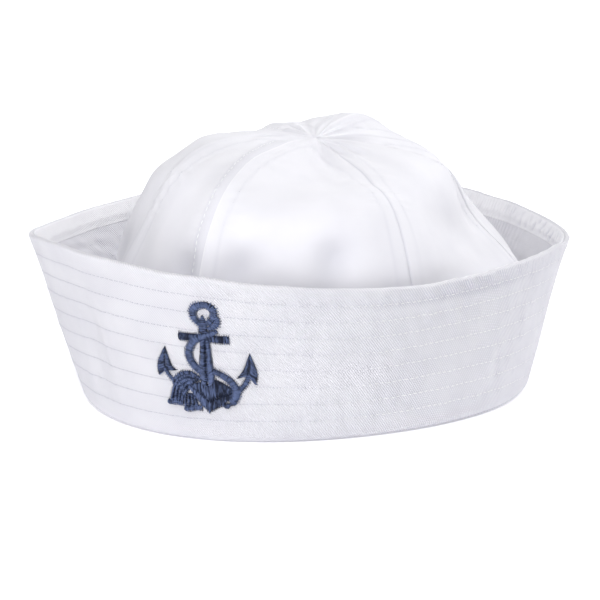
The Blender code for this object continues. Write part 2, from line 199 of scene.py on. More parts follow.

# The embroidery drawn flat, in hundredths of ANCHOR_HEIGHT from its middle. A band has a width at each place
# along its path, and a column is sewn from one rail to the other. Layer counts steps of THREAD_LAYER up.
# Shade is how much shade is painted on a shape's threads; all of them are one navy thread
Band = namedtuple("Band", "layer shade half_widths path")
Column = namedtuple("Column", "layer shade left right")
RING_PATH = (
    (-3.1, 29.9), (-7, 33.4), (-8.1, 38.8), (-6.4, 43.5), (-2.2, 46.3), (2, 47.2),
    (6.1, 46.5), (8.6, 43.5), (8.6, 39), (6.8, 34.6), (3.2, 30.8),
)
KNOT_PATH = ((10.6, 37.2), (11, 32.9), (8.3, 28.7), (3.8, 26.4))
ROPE_UPPER_PATH = (
    (9.7, 25.1), (4.3, 21.5), (-1.2, 19.5), (-6.9, 16.5), (-11.7, 11.4), (-14.8, 5.9),
    (-15.7, 0.7), (-14.7, -4.3), (-12, -8.3), (-9.4, -11.3), (-6.1, -13.2),
)
ROPE_LOWER_PATH = (
    (3.6, -11.5), (7.9, -13.3), (12.5, -16), (16.8, -19.1), (19.9, -23.1),
    (21.8, -27.1), (21.9, -30.9), (20.6, -35.1), (16.9, -38.6),
)
ROPE_TAIL_PATH = ((21.1, -38.8), (17.5, -40.4), (13.4, -41.9), (9.5, -41.5))
ROPE_END_PATH = ((11.6, -37.5), (9.8, -40.4), (11.5, -43.3), (14.8, -43.2))
STOCK_PATH = ((-22.2, 15.9), (-1.5, 16.9), (18.7, 17.2))
ARM_LEFT_PATH = ((-39.6, -14.3), (-37.5, -19), (-34.6, -22.9), (-30.7, -26))
ARM_RIGHT_PATH = ((32.3, -13.3), (31.1, -19.3), (27.4, -24.7), (20.1, -31.3))
PILE_PATHS = (
    ((-33.1, -26.3), (-30.4, -21.6), (-25.8, -17.5), (-20.2, -15.3), (-15, -15.3), (-11.6, -17.1)),
    ((-30.8, -26.7), (-26.9, -21.9), (-21.4, -18.4), (-16, -17.2), (-10.9, -17.9), (-8.3, -19.3)),
    ((-29.5, -28.4), (-23.6, -23.3), (-17.5, -20.6), (-12.8, -20.9)),
    ((-27.1, -31), (-22.6, -26.8), (-18.3, -23.7), (-14.4, -22.5)),
    ((-24.5, -34.3), (-21.2, -30.3), (-17.6, -26.9)),
)
FALL_PATHS = (
    ((-31.9, -26.9), (-34.7, -33.1), (-38, -41.1)),
    ((-28.8, -26.5), (-31.1, -32.6), (-33.9, -40.6)),
    ((-26, -26.9), (-27.8, -32.9), (-30.2, -40.1)),
    ((-23.6, -27.7), (-25.1, -33.3), (-26.9, -39.7)),
    ((-22.8, -34.5), (-24.2, -39.8), (-24.5, -45.3)),
    ((-20, -34.2), (-21, -39.4), (-21.1, -45)),
    ((-17.4, -34.6), (-17.7, -39.1), (-17.4, -44.3)),
    ((-15.1, -35.8), (-14.7, -39.5), (-14, -43.3)),
)
FALL_HEM_PATHS = (
    ((-41, -43.2), (-33.9, -42.6), (-26.4, -42.5)),
    ((-25.4, -47.4), (-19.3, -47.1), (-13.7, -45.6), (-9.2, -45.3)),
)
PILE_TOP = ((-34.4, -26.9), (-27.7, -19.8), (-21.1, -16.4), (-14.3, -15.9), (-8.2, -18.5))
PILE_LOW = ((-33.2, -29.2), (-26.1, -29.4), (-20.6, -28.7), (-15.7, -26.3), (-8.9, -21.9))
FALL_LEFT = ((-34.2, -27.9), (-37.7, -34.9), (-41.1, -42.5))
FALL_RIGHT = ((-21.1, -27.3), (-22.8, -33.8), (-24.9, -40.7))
END_LEFT = ((-24, -33.5), (-26, -40), (-26.4, -46.4))
END_RIGHT = ((-14.1, -34.3), (-12.9, -39), (-11.6, -44.4))
BANDS = (
    Band(1, 0.62, (3.9, 3.9), STOCK_PATH),
    Band(1, 0.15, (2.3, 2.3), ARM_LEFT_PATH),
    Band(1, 0.15, (2.4, 2.9), ARM_RIGHT_PATH),
    Band(2, 0.25, (2.9, 3.2, 3.3, 3.2, 2.9), RING_PATH),
    Band(3, 0.20, (2.2, 2.6, 2.3), KNOT_PATH),
    Band(3, 0.15, (1.8, 3.0, 3.3, 3.4, 3.3), ROPE_UPPER_PATH),
    Band(3, 0.20, (2.6, 3.2, 3.9, 3.5), ROPE_LOWER_PATH),
    Band(2, 0.45, (2.0, 1.3), ROPE_TAIL_PATH),
    Band(2, 0.50, (1.3, 1.1), ROPE_END_PATH),
    *(Band(3, 0.35, (1.5, 1.9, 1.5), path) for path in PILE_PATHS),
    *(Band(2, 0.30, (1.0, 1.1), path) for path in FALL_PATHS),
    *(Band(3, 0.20, (2.2, 2.4), path) for path in FALL_HEM_PATHS),
)
FOOT_LEFT_TOP = ((-17.3, -25.2), (-13.1, -23.5), (-8.2, -22.4), (-4.3, -23.1), (-1.9, -24.9))
FOOT_RIGHT_TOP = ((-1.2, -24.1), (4.1, -18.8), (8.1, -19.8), (12.7, -22.5), (17.7, -25.9))
EDGE_LEFT_TOP = ((-17.8, -26.4), (-12.5, -30.4), (-7.6, -34.6), (-2.3, -39.2))
EDGE_LEFT_LOW = ((-17.3, -30.6), (-13.4, -37.7), (-8.7, -43.9), (-3.1, -49.6))
EDGE_RIGHT_TOP = ((-2.2, -39.3), (3.8, -36.3), (10.5, -33.4), (17.9, -30.4))
EDGE_RIGHT_LOW = ((-3, -49.6), (3.2, -46.1), (9.4, -42), (18, -35.5))
SHANK_TOP_LEFT = ((-0.9, 37.3), (-3.5, 33.6), (-4.6, 28.7), (-5.0, 22.6))
SHANK_TOP_RIGHT = ((-0.2, 37.3), (2.0, 34.2), (3.1, 29.8), (3.0, 23.3))
SHANK_LEFT = ((-4.3, 14.6), (-5.8, 2.7), (-7.3, -8.5), (-7.4, -15.9), (-7.7, -22.9))
SHANK_GROOVE_LEFT = ((-0.6, 15.1), (-1.3, 3.2), (-2, -7.9), (-2.2, -15.3), (-2.2, -25.7))
SHANK_GROOVE_RIGHT = ((-0, 15.2), (-0.5, 3.3), (-1.1, -7.8), (-1.4, -15.3), (-1.5, -25.6))
SHANK_RIGHT = ((3.1, 15.5), (3.3, 3.7), (3.7, -6.6), (4.2, -13.3), (4.2, -19.6))
FLUKE_LEFT_MIDDLE = ((-36.7, 4.7), (-37.6, -1.7), (-38.1, -8.3), (-38.8, -15.2))
FLUKE_LEFT_OUTER = ((-36.8, 4.7), (-41.7, -2), (-45.9, -9.5), (-47.7, -15.5), (-47.1, -21.6))
FLUKE_LEFT_INNER = ((-36.5, 4.7), (-34.9, -1.3), (-33.5, -7.2), (-31.7, -11.5), (-28.6, -14.1))
FLUKE_RIGHT_MIDDLE = ((34.2, 5.8), (33.7, -1), (33, -7.9), (32.4, -13.2))
FLUKE_RIGHT_INNER = ((34.1, 5.8), (31.3, -1.1), (29.2, -6.9), (26.4, -11.9), (22.9, -16.3))
FLUKE_RIGHT_OUTER = ((34.3, 5.8), (36.9, -0.8), (39.1, -7.7), (40.3, -14.9), (38.9, -23))
COLUMNS = (
    Column(0, 0.95, SHANK_LEFT, SHANK_RIGHT),
    Column(0, 0.95, FOOT_LEFT_TOP, EDGE_LEFT_LOW),
    Column(0, 0.95, FOOT_RIGHT_TOP, EDGE_RIGHT_LOW),
    Column(0, 0.85, PILE_TOP, PILE_LOW),
    Column(0, 0.90, FALL_LEFT, FALL_RIGHT),
    Column(0, 0.90, END_LEFT, END_RIGHT),
    Column(1, 0.45, FOOT_LEFT_TOP, EDGE_LEFT_TOP),
    Column(1, 0.60, FOOT_RIGHT_TOP, EDGE_RIGHT_TOP),
    Column(2, 0.30, EDGE_LEFT_TOP, EDGE_LEFT_LOW),
    Column(2, 0.80, EDGE_RIGHT_TOP, EDGE_RIGHT_LOW),
    Column(2, 0.45, FLUKE_LEFT_MIDDLE, FLUKE_LEFT_OUTER),
    Column(2, 0.55, FLUKE_LEFT_MIDDLE, FLUKE_LEFT_INNER),
    Column(2, 0.55, FLUKE_RIGHT_MIDDLE, FLUKE_RIGHT_INNER),
    Column(2, 0.40, FLUKE_RIGHT_MIDDLE, FLUKE_RIGHT_OUTER),
    Column(3, 0.25, SHANK_TOP_LEFT, SHANK_TOP_RIGHT),
    Column(4, 0.25, SHANK_LEFT, SHANK_GROOVE_LEFT),
    Column(4, 0.15, SHANK_GROOVE_RIGHT, SHANK_RIGHT),
)
THREAD_PITCH = 0.00042
THREAD_RADIUS = 0.00019
THREAD_LAYER = 0.00018
THREAD_BULGE = 0.00050
GROUND_BULGE = 0.00006
THREAD_RAGGED = 0.00075
THREAD_DIVE = 0.0004
THREAD_FOOT = 0.00004
THREAD_JITTER = 0.00006
TONE_SPREAD = 0.48
# Painted shade at the edges of each shape
EDGE_PAINTED_SHADE = 0.45
PADDING_INSET = 0.8

# Stitch rows round the brim, from its edge down, as shares of its height
FIRST_ROW = 0.108
ROW_PITCH = 0.114
STITCH_ROWS = tuple(1 - FIRST_ROW - ROW_PITCH * row for row in range(8))
STITCH_PITCH = 0.0027
STITCH_LENGTH = 0.0022
STITCH_WIDTH = 0.00038
STITCH_HEIGHT = 0.00028
STITCH_TURN = 0.7
ROW_LIFT = 0.018
ROW_WANDER = 0.0012
GROOVE_WIDTH = 0.0009
GROOVE_DEPTH = 0.0001
PUCKER_REACH = 0.0028
QUILT_DEPTH = 0.00012

# The brim's rolled edge, its hem and its slack inner ply
EDGE_GROOVE_WIDTH = 0.0011
EDGE_GROOVE_DEPTH = 0.0004
EDGE_RISE = 0.00012
EDGE_ROPING = 0.0001
ROLLED_ROPING = 0.00026
RIM_WAVE = 0.00025
HEM_ROPING = 0.00006
STRONG_HEM_ROPING = 0.00042
# Painted light over the whole hem
HEM_PAINTED_LIGHT = -0.3
WRINKLE_DEPTH = 0.00005
SLACK_DEPTH = 0.00036
INNER_SHARE = 0.6
INNER_TURN = 3.0

# Felled seams of the crown
FELL_WIDTH = 0.0060
FELL_ROW = 0.0006
FELL_RISE = 0.00022
FELL_SOFTNESS = 0.0016
FELL_GROOVE_WIDTH = 0.0007
FELL_GROOVE_DEPTH = 0.00016
CREASE_WIDTH = 0.0005
CREASE_DEPTH = 0.0005
SEAM_PUCKER = 0.00022
SEAM_PUCKER_REACH = 0.0045
CROWN_WAVE = 0.00045
GATHER_DEPTH = 0.0006


# Form of the cap


def smooth(knots, values, at):
    """A cubic spline through the values at the knots, straight beyond its ends, read at each place in at."""
    knots = np.asarray(knots, float)
    values = np.asarray(values, float)
    at = np.asarray(at, float)
    step = np.diff(knots)
    slope = np.diff(values, axis=0) / step[:, None]
    count = len(knots)
    system = np.eye(count)
    turns = np.zeros_like(values)
    for i in range(1, count - 1):
        system[i, i - 1 : i + 2] = step[i - 1], 2 * (step[i - 1] + step[i]), step[i]
        turns[i] = 6 * (slope[i] - slope[i - 1])
    bend = np.linalg.solve(system, turns)
    cell = np.clip(np.searchsorted(knots, at, side="right") - 1, 0, count - 2)
    width = step[cell][..., None]
    after = (at - knots[cell])[..., None]
    before = width - after
    curved = (bend[cell] * before**3 + bend[cell + 1] * after**3) / (6 * width)
    start = (values[cell] / width - bend[cell] * width / 6) * before
    end = (values[cell + 1] / width - bend[cell + 1] * width / 6) * after
    return curved + start + end


def section(angle):
    """The row of shares at any angle, read smoothly round the eight sections."""
    angles = np.array([row.angle for row in SECTIONS], float)
    shares = np.array([row[1:] for row in SECTIONS])
    knots = np.concatenate([angles - 360, angles, angles + 360])
    row = smooth(knots, np.tile(shares, (3, 1)), np.mod(angle, 360.0))
    return Section(angle, *np.moveaxis(row, -1, 0))


def ease(value):
    value = np.clip(value, 0, 1)
    return value * value * (3 - 2 * value)


def hollow(dents, size, angle, up):
    """How deep the dents of a table are at a place."""
    depth = np.zeros(np.broadcast(angle, up).shape)
    for dent in dents:
        away = (np.mod(angle - dent.angle + 180, 360) - 180) / dent.across
        depth = depth + size * dent.depth * np.exp(-(away**2) - ((up - dent.up) / dent.tall) ** 2)
    return depth


def unit(vectors):
    return vectors / np.linalg.norm(vectors, axis=-1, keepdims=True)


def oval(angle, outset):
    """A place in plan, at an outset from the head opening."""
    turn = np.radians(angle)
    half_length = HEAD_LENGTH / 2
    half_width = HEAD_WIDTH / 2
    edge = np.stack([half_width * np.sin(turn), -half_length * np.cos(turn)], -1)
    normal = np.stack([np.sin(turn) / half_width, -np.cos(turn) / half_length], -1)
    return edge + unit(normal) * np.asarray(outset)[..., None]


def raised(angle, outset, height):
    return np.concatenate([oval(angle, outset), np.asarray(height)[..., None]], -1)


def roll_centre():
    return FOLD_RADIUS + FOOT_FLAT


def brim_wall(angle):
    """Outset and height of the wall's foot and rim, and the direction that faces out of it."""
    row = section(angle)
    rim_outset = roll_centre() + ROLL_RADIUS + BRIM_FLARE * row.flare
    rim_height = BRIM_HEIGHT * row.rim
    across = rim_outset - roll_centre()
    up = rim_height - ROLL_RADIUS
    facing = np.arctan2(up, across) - np.arccos(ROLL_RADIUS / np.hypot(across, up))
    out = np.stack([np.cos(facing), np.sin(facing)], -1)
    foot = np.stack([roll_centre() + ROLL_RADIUS * out[..., 0], ROLL_RADIUS * (1 + out[..., 1])], -1)
    rim = np.stack([rim_outset, rim_height], -1)
    return foot, rim, out


def wall_point(angle, rise, depth=0.0):
    """A place on the brim's wall, at a rise from 0 at its foot to 1 at its rim and a depth inwards."""
    angle, rise, depth = np.broadcast_arrays(np.asarray(angle, float), rise, depth)
    foot, rim, out = brim_wall(angle)
    bow = BRIM_BOW * np.sin(np.pi * rise) * rise
    inwards = depth + bow + hollow(BRIM_DENTS, BRIM_DENT, angle, rise) * np.sin(np.pi * np.clip(rise, 0, 1))
    place = foot + (rim - foot) * rise[..., None] - out * inwards[..., None]
    return raised(angle, place[..., 0] + FOOT_SWING * section(angle).swing, place[..., 1])


def crown_form(angle, share):
    """A place on the crown before its seams and dents, share from 0 at its foot to 1 at its apex."""
    angle, share = np.broadcast_arrays(np.asarray(angle, float), share)
    row = section(angle)
    weight = np.moveaxis(smooth(CROWN_STATIONS, np.eye(len(CROWN_STATIONS)), share), -1, 0)
    radius = weight[0] + weight[1] * row.side + weight[2] * row.shoulder + weight[3] * CREST_RADIUS
    top = weight[2] * row.shoulder_height + weight[3] * row.crest_height + weight[4]
    height = weight[1] * SIDE_HEIGHT + top * CROWN_HEIGHT
    free = ease((height - SEAM_ALLOWANCE) / (SIDE_HEIGHT - SEAM_ALLOWANCE))
    radius = 1 + (radius - 1) * free
    foot_outset = BRIM_WALL + SEAM_ROOM + CROWN_WALL
    plan = oval(angle, foot_outset + FOOT_SWING * row.swing * (1 - free)) * radius[..., None]
    lean = (np.clip(height - SEAM_ALLOWANCE, 0, None) / (CROWN_HEIGHT - SEAM_ALLOWANCE)) ** 1.4
    shift = np.stack([LEAN_RIGHT * lean, -LEAN_FRONT * lean], -1)
    base = BRIM_WALL + 0.0003
    return np.concatenate([plan + shift, (base + height * (1 - base / CROWN_HEIGHT))[..., None]], -1)


def crown_normal(angle, share):
    turn, climb = 0.5, 0.004
    along = crown_form(angle + turn, share) - crown_form(angle - turn, share)
    up = crown_form(angle, share + climb) - crown_form(angle, share - climb)
    return unit(np.cross(along, up))


def to_origin():
    """How far the solids were moved to bring the middle of the rim's box over the origin."""
    columns = 66
    rim = wall_point(np.arange(columns) * 360.0 / columns, 1.0)
    middle = (rim.min(axis=0) + rim.max(axis=0)) / 2
    return np.array([-middle[0], -middle[1], 0.0])


SHIFT = to_origin()


# Fine relief of the cloth


def ripples(along, up, kind, around=None):
    """Smooth uneven ripples of a kind, between about -1 and 1. Along and up are in metres.

    Ripples that run round the cap meet themselves again after the distance around.
    """
    random = np.random.default_rng(kind.seed)
    total = np.zeros(np.broadcast(along, up).shape)
    for _ in range(WAVES):
        length = random.uniform(kind.shortest, kind.longest)
        turn = kind.slant + random.normal(0, SLANT_SPREAD)
        phase = random.uniform(0, 2 * np.pi)
        pace = np.cos(turn) / length
        if around is not None:
            pace = np.round(pace * around) / around
        total = total + np.sin(2 * np.pi * (along * pace + up * np.sin(turn) / length) + phase)
    return total / np.sqrt(WAVES)


def bump_row(distance, width):
    return np.exp(-((distance / width) ** 2))


def brim_ripples(angle, rise, kind):
    """Ripples round the brim, which meet themselves again."""
    return ripples(angle * BRIM_AROUND / 360, rise * BRIM_HEIGHT, kind, BRIM_AROUND)


def stretch_of(angle, stretch):
    """1 at the middle of a stretch of the brim, fading out at its reach."""
    return bump_row(np.mod(angle - stretch.middle + 180, 360) - 180, stretch.reach)


def row_lift(angle):
    """How much higher than elsewhere the stitch rows run, as a share of the brim's height."""
    return ROW_LIFT * stretch_of(angle, LIFTED_ROWS)


def row_distance(angle, rise):
    sewn = rise - row_lift(angle)
    return np.min([np.abs(sewn - row) for row in STITCH_ROWS], axis=0) * BRIM_HEIGHT


def row_groove(angle, rise):
    """How deep in the groove of a stitch row a place on the brim is."""
    return bump_row(row_distance(angle, rise), GROOVE_WIDTH)


def edge_groove(angle, rise):
    """The deeper groove of the top row at the front right, where the edge rolls over."""
    away = (rise - row_lift(angle) - STITCH_ROWS[0]) * BRIM_HEIGHT
    return bump_row(away, EDGE_GROOVE_WIDTH) * stretch_of(angle, DEEP_EDGE)


def painted_wall_shade(angle, rise):
    """How much shade is painted on the outer face: in the grooves of the rows, most of all on the left, on
    the rolled edge, patchily in its deep groove, and on the right side.
    """
    spots = 0.5 + 0.5 * brim_ripples(angle, 0.0, EDGE_SPOTS)
    rows = (0.10 + 0.06 * stretch_of(angle, LEFT_ROWS_PAINTED_SHADE)) * row_groove(angle, rise)
    rolled = 0.32 * stretch_of(angle, ROLLED_EDGE_PAINTED_SHADE) * ease((rise - 0.84) / 0.06)
    edge = 0.70 * np.clip(spots, 0, 1) * edge_groove(angle, rise)
    return rows + rolled + edge + 0.12 * stretch_of(angle, WALL_PAINTED_SHADE)


def wall_relief(angle, rise):
    """How far the stitched wall stands out of its smooth form: quilting between the rows, and puckers."""
    angle, rise = np.broadcast_arrays(np.asarray(angle, float), rise)
    pucker = brim_ripples(angle, rise, ROW_PUCKERS) * bump_row(row_distance(angle, rise), PUCKER_REACH)
    depth = GROOVE_DEPTH * (1 + stretch_of(angle, PUCKERED_ROWS))
    relief = QUILT_DEPTH * brim_ripples(angle, rise, QUILTING) - EDGE_GROOVE_DEPTH * edge_groove(angle, rise)
    relief = relief + depth * (1.2 * pucker - row_groove(angle, rise))
    roping = EDGE_ROPING + ROLLED_ROPING * stretch_of(angle, ROPED_EDGE)
    above_rows = ease((rise - row_lift(angle) - (1 - FIRST_ROW)) / 0.03)
    return relief + above_rows * (roping * brim_ripples(angle, rise, EDGE_ROPES) + EDGE_RISE)


def rim_wave(angle, rise):
    """The rise of a place once the slight waves of the rim are in."""
    wave = RIM_WAVE / BRIM_HEIGHT * brim_ripples(angle, 0.0, RIM_WAVES)
    return rise + wave * ease((rise - 0.75) / 0.25)


def wall_face(angle, rise, proud=0.0):
    """A place on the brim's stitched outer face, a little proud of it."""
    return wall_point(angle, rim_wave(angle, rise), -wall_relief(angle, rise) - proud)


def inner_wrinkles(angle, rise):
    """Soft slanting wrinkles where the inner ply is slack, most of all at the back left."""
    depth = WRINKLE_DEPTH + SLACK_DEPTH * stretch_of(angle, SLACK_PLY)
    wrinkle = brim_ripples(angle, rise, WRINKLES)
    below_hem = 1 - ease((rise - 0.80) / 0.08)
    return depth * wrinkle * below_hem * np.sin(np.pi * rise) ** 0.5


def inner_face(angle, rise, proud=0.0):
    """A place on the side of the brim that faces the crown."""
    angle, rise = np.broadcast_arrays(np.asarray(angle, float), rise)
    relief = INNER_SHARE * wall_relief(angle + INNER_TURN, rise) + inner_wrinkles(angle, rise)
    return wall_point(angle, rim_wave(angle, rise), BRIM_WALL + relief + proud)


def fold_relief(place, folds):
    """Ridges and creases of the crown along straight lines between two places on it."""
    relief = np.zeros(place.shape[:-1])
    for fold in folds:
        start = crown_form(float(fold.angle), fold.share)
        line = crown_form(float(fold.end_angle), fold.end_share) - start
        length = np.linalg.norm(line)
        along = np.clip(((place - start) @ line) / length**2, 0, 1)
        away = np.linalg.norm(place - start - along[..., None] * line, axis=-1)
        fade = np.sin(np.pi * np.clip(along, 0.02, 0.98)) ** 0.7
        relief = relief + fold.depth * fade * bump_row(away, fold.width)
    return relief


def seam_work(left, right, across, share, span):
    """How far the felled seams at a gore's two sides stand out of it, and the shade and highlight painted on
    them.
    """
    seam = np.minimum(across, 1 - across) * span
    fell = 1 - ease((seam - FELL_WIDTH) / FELL_SOFTNESS)
    groove = bump_row(seam - FELL_WIDTH + FELL_ROW, FELL_GROOVE_WIDTH)
    open_way = 1 - ease((share - 0.90) / 0.07)
    lips = left.lip * bump_row(across * span - 0.0008, 0.0013)
    lips = lips - 0.6 * right.lip * bump_row((1 - across) * span, 0.0016)
    lips = lips * (0.3 + 0.7 * ease((share - 0.25) / 0.20))
    crease = np.where(across < 0.5, left.crease, right.crease) * bump_row(seam, CREASE_WIDTH) * open_way
    kinds = [SEAM_PUCKERS._replace(seed=SEAM_PUCKERS.seed + side.foot % 360) for side in (left, right)]
    pucker = np.where(across < 0.5, *(ripples(share * GORE_LENGTH, seam, kind) for kind in kinds))
    pucker = pucker * bump_row(seam - FELL_WIDTH, SEAM_PUCKER_REACH)
    pucker = pucker * (0.15 + 0.85 * ease((share - 0.45) / 0.20))
    relief = FELL_RISE * fell - FELL_GROOVE_DEPTH * groove - CREASE_DEPTH * crease
    relief = relief + lips + SEAM_PUCKER * pucker
    # Painted shade in the crease, on the felled band and in the stitch groove, and painted highlight where
    # the crease is negative
    band = np.where(across > 0.5, right.band, 0.0) * fell * open_way
    return relief, crease + band + 0.25 * groove


def gore_face(left, right, across, share):
    """The outer face of a gore: its places, their normals, the shade and highlight painted on them, and the
    gore's width there.
    """
    start = left.foot + (left.apex - left.foot) * share
    end = right.foot + (right.apex - right.foot) * share
    angle = start + (end - start) * across
    span = np.linalg.norm(crown_form(end, share) - crown_form(start, share), axis=-1)
    place = crown_form(angle, share)
    normal = crown_normal(angle, share)
    rising = ease(share / CROWN_STATIONS[1])
    body = rising * ease((1 - share) / (1 - CROWN_STATIONS[3]))
    dent = hollow(CROWN_DENTS, CROWN_DENT, angle, share) * rising
    relief, shade = seam_work(left, right, across, share, span)
    relief = relief - dent - PANEL_SINK * np.sin(np.pi * across) ** 2 * body
    up = share * GORE_LENGTH
    waves = ripples(angle * CROWN_AROUND / 360, up, CROWN_WAVES, CROWN_AROUND)
    gathers = ripples(angle * GATHER_AROUND / 360, up * 0.2, GATHERS, GATHER_AROUND)
    relief = relief + CROWN_WAVE * waves * body + GATHER_DEPTH * gathers * bump_row(share - 0.93, 0.045)
    relief = relief + fold_relief(place, CROWN_FOLDS)
    place = place + normal * relief[..., None] + APEX_PULL * ease((share - 0.70) / 0.30)[..., None]
    place[..., 2] -= APEX_SINK * bump_row(1 - share, 0.07)
    # Painted shade in the dents low on the crown, where the cloth dips in
    hollow_shade = HOLLOW_PAINTED_SHADE * np.clip(dent, 0, None) * (1 - ease((share - 0.48) / 0.12))
    return place, normal, np.clip(shade + hollow_shade, -0.5, 1), span


# Building pieces


def add_object(name, data):
    thing = bpy.data.objects.new(name, data)
    bpy.context.scene.collection.objects.link(thing)
    return thing


def new_object(name, points, faces, tone, material, uv=None):
    """A mesh object from arrays: points, quads, a tone for each point and the weave at each corner."""
    mesh = bpy.data.meshes.new(name)
    mesh.vertices.add(len(points))
    mesh.vertices.foreach_set("co", np.asarray(points, np.float32).ravel())
    size = faces.shape[1]
    mesh.loops.add(faces.size)
    mesh.loops.foreach_set("vertex_index", faces.astype(np.int32).ravel())
    mesh.polygons.add(len(faces))
    mesh.polygons.foreach_set("loop_start", np.arange(0, faces.size, size, dtype=np.int32))
    mesh.polygons.foreach_set("use_smooth", np.ones(len(faces), bool))
    if uv is not None:
        layer = mesh.uv_layers.new(name="weave")
        layer.data.foreach_set("uv", np.asarray(uv, np.float32).ravel())
    attribute = mesh.attributes.new("tone", "FLOAT", "POINT")
    attribute.data.foreach_set("value", np.asarray(tone, np.float32).ravel())
    mesh.update(calc_edges=True)
    mesh.validate()
    mesh.materials.append(material)
    piece = add_object(name, mesh)
    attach(piece, "root")
    return piece


def grid_faces(rows, columns, close_rows, close_columns):
    row = np.arange(rows if close_rows else rows - 1)
    column = np.arange(columns if close_columns else columns - 1)
    row, column = np.meshgrid(row, column, indexing="ij")
    above = (row + 1) % rows
    beside = (column + 1) % columns
    corners = ((row, column), (row, beside), (above, beside), (above, column))
    return np.stack([side * columns + place for side, place in corners], -1).reshape(-1, 4)


def closed_sheet(outer, inner):
    """Points and faces of a sheet with an outer and an inner side, closed round its edge."""
    rows, columns = outer.shape[:2]
    count = rows * columns
    front = grid_faces(rows, columns, False, False)
    back = front[:, ::-1] + count
    index = np.arange(count).reshape(rows, columns)
    rim = np.concatenate([index[0], index[1:, -1], index[-1, -2::-1], index[-2:0:-1, 0]])
    after = np.roll(rim, -1)
    edge = np.stack([after, rim, rim + count, after + count], -1)
    points = np.concatenate([outer.reshape(-1, 3), inner.reshape(-1, 3)])
    return points, np.concatenate([front, back, edge])


def copied_faces(faces, copies, points):
    """The same faces for every copy of so many points."""
    return (faces[None] + (np.arange(copies) * points)[:, None, None]).reshape(-1, 4)


def rounded_edge(outer, inner, along, steps):
    """Rows that round the edge from the outer face's last row to the inner face's."""
    middle = (outer + inner) / 2
    out = (outer - inner) / 2
    reach = np.linalg.norm(out, axis=-1, keepdims=True)
    turns = np.linspace(0, np.pi, steps + 2)[1:-1]
    return [middle + out * np.cos(turn) + along * reach * np.sin(turn) for turn in turns]


def step_lengths(points):
    return np.linalg.norm(np.diff(points, axis=0), axis=-1)


def run_of(steps):
    """How far along each place is, from the lengths of the steps between them."""
    return np.concatenate([[0], np.cumsum(steps)])


def brim_angles():
    """The columns of the brim, which start and end at the back."""
    return 180 + np.arange(BRIM_COLUMNS) * 360.0 / BRIM_COLUMNS


def ring_sheet(name, outer, inner, outer_tones, inner_tones, material):
    """A cloth wall all the way round, between two faces given as rows of points, its edges rounded."""
    edge_rows = 3
    top = rounded_edge(outer[-1], inner[-1], unit(outer[-1] - outer[-2]), edge_rows)
    bottom = rounded_edge(inner[0], outer[0], unit(outer[0] - outer[1]), edge_rows)
    rows = np.array([*outer, *top, *inner[::-1], *bottom])
    count, columns = rows.shape[:2]
    climb = run_of(step_lengths([*rows, rows[0]]).mean(axis=1))
    across = rows.swapaxes(0, 1)
    reach = run_of(step_lengths([*across, across[0]]).mean(axis=1))
    row, column = np.divmod(np.arange(count * columns)[:, None], columns)
    uv = np.stack([reach[column + [0, 1, 1, 0]], climb[row + [0, 0, 1, 1]]], -1)
    plain = np.zeros((edge_rows, columns))
    tone = np.concatenate([outer_tones, plain, inner_tones[::-1], plain])
    faces = grid_faces(count, columns, True, True)
    return new_object(name, (rows + SHIFT).reshape(-1, 3), faces, tone, material, uv)


def brim_cloth(material):
    """The brim: its outer face from the inner leg round the fold to the rim, and its face to the crown."""
    angle = brim_angles()
    swing = FOOT_SWING * section(angle).swing
    _, _, out = brim_wall(angle)
    facing = np.arctan2(out[:, 1], out[:, 0])
    full = np.ones(BRIM_COLUMNS)
    outer = []
    inner = []
    for height in np.linspace(SEAM_ALLOWANCE, FOLD_RADIUS, 5)[:-1]:
        outer.append(raised(angle, swing, full * height))
        inner.append(raised(angle, swing + BRIM_WALL, full * height))
    turns = [(FOLD_RADIUS, FOLD_RADIUS, turn) for turn in np.radians(np.linspace(180, 270, 6))]
    for part in np.linspace(0, 1, 8)[:-1]:
        turns.append((roll_centre(), ROLL_RADIUS, -np.pi / 2 + (facing + np.pi / 2) * part))
    for middle, radius, turn in turns:
        for rows, reach in ((outer, radius), (inner, radius - BRIM_WALL)):
            height = full * (radius + reach * np.sin(turn))
            rows.append(raised(angle, middle + reach * np.cos(turn) + swing, height))
    rises = np.linspace(0, 1, WALL_ROWS + 1)
    for rise in rises:
        start = ease(rise / 0.06)
        flat_outer = wall_point(angle, rise)
        flat_inner = wall_point(angle, rise, BRIM_WALL)
        outer.append(flat_outer + start * (wall_face(angle, rise) - flat_outer))
        inner.append(flat_inner + start * (inner_face(angle, rise) - flat_inner))
    plain = np.zeros((len(outer), BRIM_COLUMNS))
    tones = plain.copy()
    tones[-len(rises) :] = [painted_wall_shade(angle, rise) for rise in rises]
    piece = ring_sheet("brim_cloth", np.array(outer), np.array(inner), tones, plain, material)
    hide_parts("brim")


